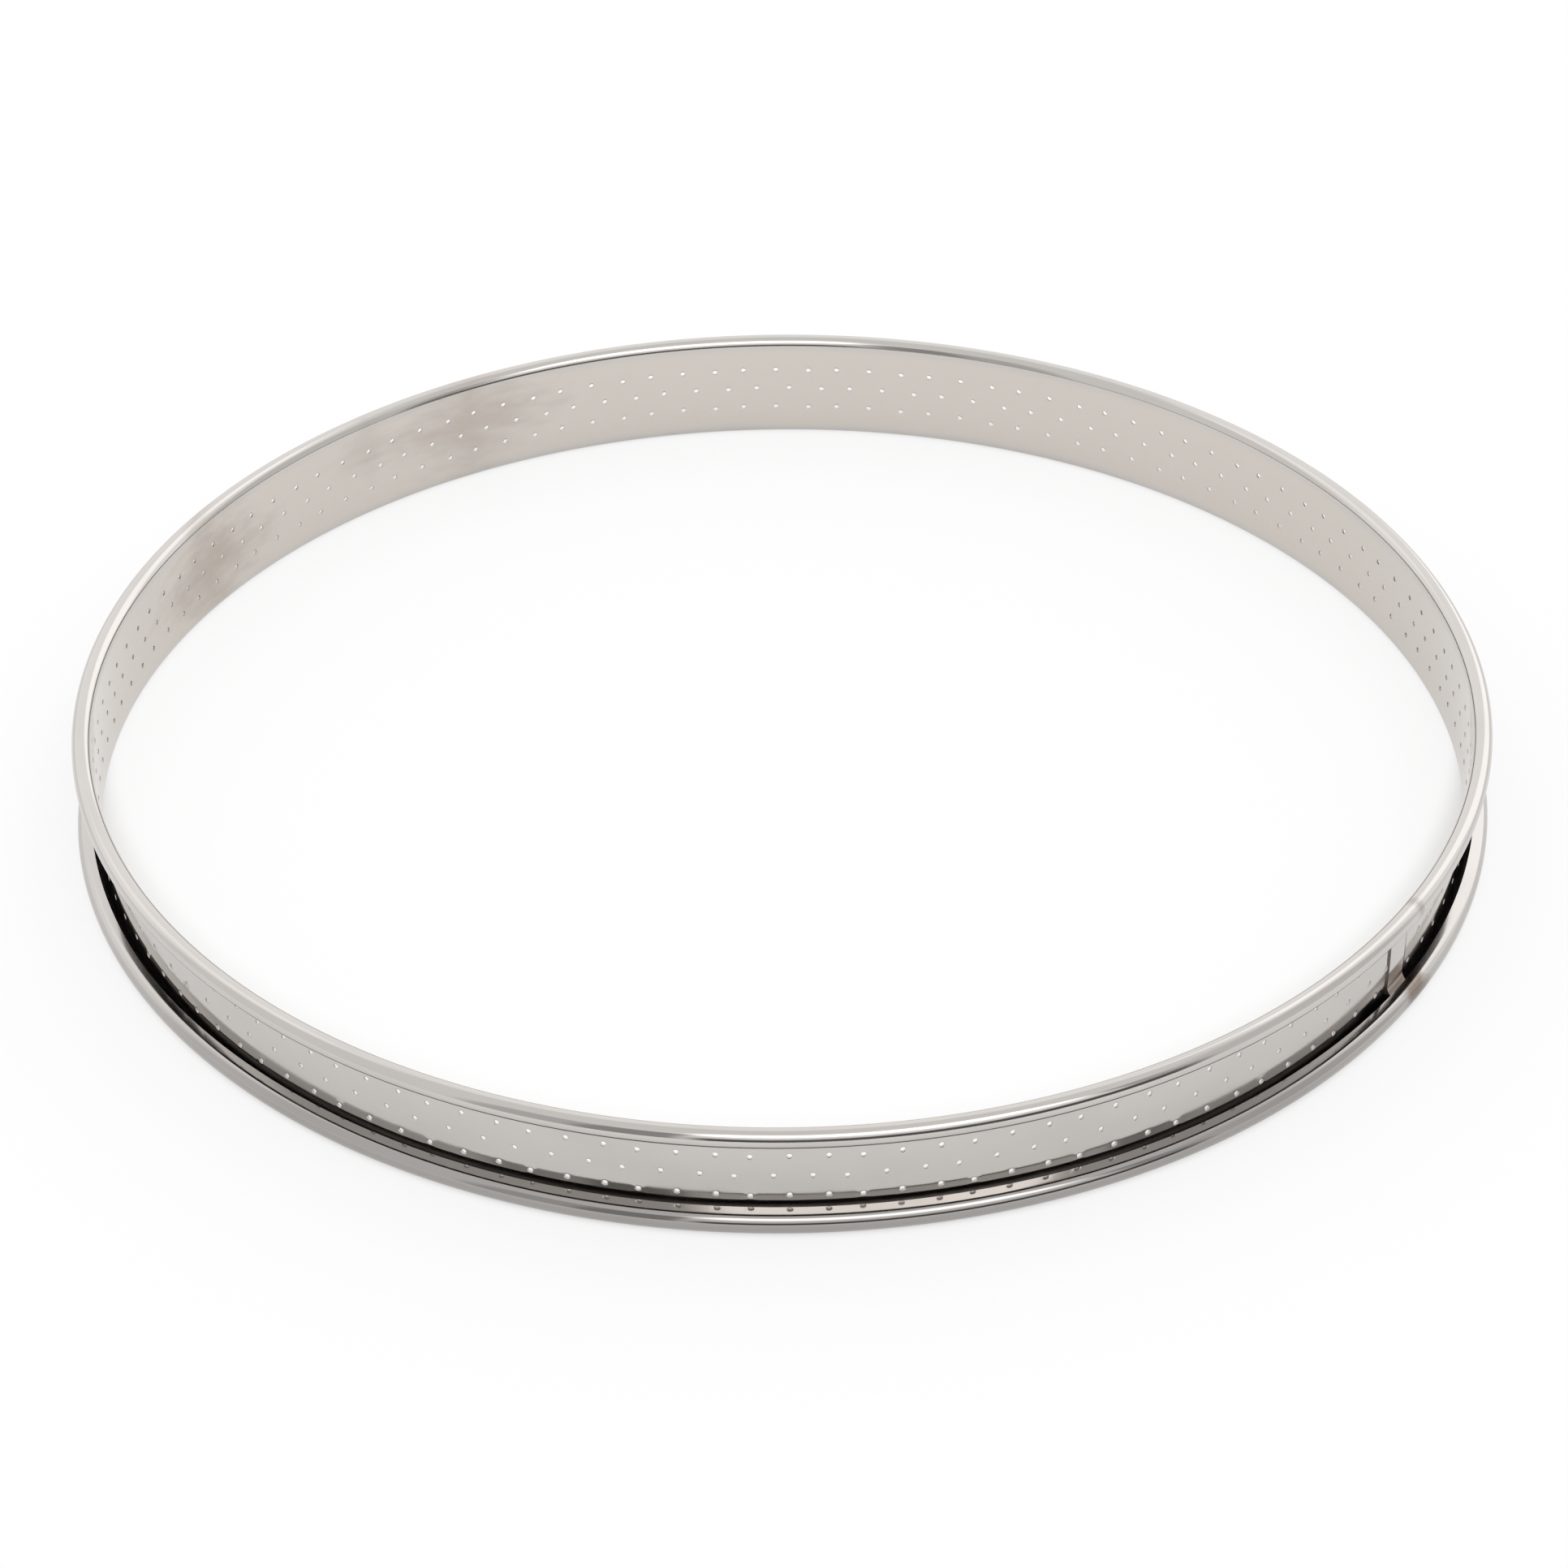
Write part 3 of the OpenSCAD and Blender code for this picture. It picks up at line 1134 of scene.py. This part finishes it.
def floor_paper(look):
    """Pale matt paper, seen and mirrored nearly as plain white, but for the shade by the walls."""
    material, shader = new_material("pale floor")
    matt = shader.node(
        "BsdfPrincipled",
        {},
        {"Base Color": (*look.floor_colour, 1.0), "Roughness": 0.9, "Specular IOR Level": 0.1},
    )
    white = shader.node("Emission", {}, {"Color": (1.0, 1.0, 1.0, 1.0)})
    place = shader.node("NewGeometry")
    outside = []
    for shift in (0.0, -look.shade):
        moved = shader.node("VectorMath", {"operation": "ADD"}, {0: place, 1: (0.0, shift, 0.0)})
        radius = shader.node("VectorMath", {"operation": "LENGTH"}, {0: moved}, 1)
        outside.append(shader.smooth(radius, *RING_FOOT))
    shade = (outside[0] - outside[1]).maths("ABSOLUTE") * SHADE_SHOWS
    seen = shader.node("LightPath", output="Is Camera Ray")
    mirrored = shader.node("LightPath", output="Is Glossy Ray")
    share = seen * look.paper * (1 - shade) + mirrored * look.mirrored_paper
    paper = shader.node("MixShader", {}, {0: share, 1: matt, 2: white})
    shader.node("OutputMaterial", {}, {"Surface": paper})
    return material


def make_floor(look):
    """Plain pale floor under the ring, a disc of its own."""
    half, rim = look.floor_d / 2, []
    for step in range(FLOOR_POINTS):
        turned = 2 * math.pi * step / FLOOR_POINTS
        rim.append((half * math.cos(turned), half * math.sin(turned), 0))
    mesh = bpy.data.meshes.new("floor")
    mesh.from_pydata(rim, [], [range(FLOOR_POINTS)])
    mesh.materials.append(floor_paper(look))
    floor = bpy.data.objects.new("floor", mesh)
    bpy.context.collection.objects.link(floor)


# Width of the picture that the lens is given for, in millimetres
PICTURE_W = 36.0


def make_camera(scene, look):
    """Camera at the photographed angle."""
    forward = Vector((0, math.cos(look.elevation), -math.sin(look.elevation)))
    right = Vector((1, 0, 0))
    up = right.cross(forward)
    c, s = math.cos(look.roll), math.sin(look.roll)
    turned_right, turned_up = c * right + s * up, c * up - s * right
    camera = bpy.data.objects.new("camera", bpy.data.cameras.new("camera"))
    camera.data.lens, camera.data.sensor_width = look.lens, PICTURE_W
    camera.data.clip_start, camera.data.clip_end = 0.05, 20.0
    turn = Matrix((turned_right, turned_up, -forward)).transposed().to_4x4()
    place = Matrix.Translation(Vector(look.target) - look.distance * forward)
    camera.matrix_world = place @ turn
    scene.collection.objects.link(camera)
    scene.camera = camera


class TARTRING_OT_stage(bpy.types.Operator):
    """Set the floor, the light and the camera"""

    bl_idname = "tart_ring.stage"
    bl_label = "Stage"

    def execute(self, context):
        scene, look = context.scene, context.scene.tart_ring_stage
        make_camera(scene, look)
        make_floor(look)
        scene.world = bpy.data.worlds.new("studio")
        studio_light(scene.world, look.light)
        scene.view_settings.view_transform = "Standard"
        return {"FINISHED"}


class TARTRING_PT_panel(bpy.types.Panel):
    """Lists the sizes, the looks and what can be made"""

    bl_idname = "TARTRING_PT_panel"
    bl_label = "Tart Ring"
    bl_space_type = "VIEW_3D"
    bl_region_type = "UI"
    bl_category = "Tart Ring"

    def draw(self, context):
        for operator in OPERATORS:
            self.layout.operator(operator.bl_idname)
        for name in GROUPS:
            group = getattr(context.scene, name)
            box = self.layout.box()
            for prop in group.bl_rna.properties:
                if not prop.is_readonly and prop.identifier != "name":
                    box.prop(group, prop.identifier)


OPERATORS = (TARTRING_OT_stage, TARTRING_OT_strip, TARTRING_OT_lap)
GROUPS = {
    "tart_ring_sizes": RingSizes,
    "tart_ring_steel": SteelLook,
    "tart_ring_stage": StageLook,
}
CLASSES = (*GROUPS.values(), *OPERATORS, TARTRING_PT_panel)


def register():
    for cls in CLASSES:
        bpy.utils.register_class(cls)
    for name, group in GROUPS.items():
        setattr(bpy.types.Scene, name, PointerProperty(type=group))


def unregister():
    for name in GROUPS:
        delattr(bpy.types.Scene, name)
    for cls in reversed(CLASSES):
        bpy.utils.unregister_class(cls)


def main():
    """Makes the stage and the ring."""
    register()
    bpy.ops.tart_ring.stage()
    bpy.ops.tart_ring.strip()
    bpy.ops.tart_ring.lap()


if __name__ == "__main__":
    main()
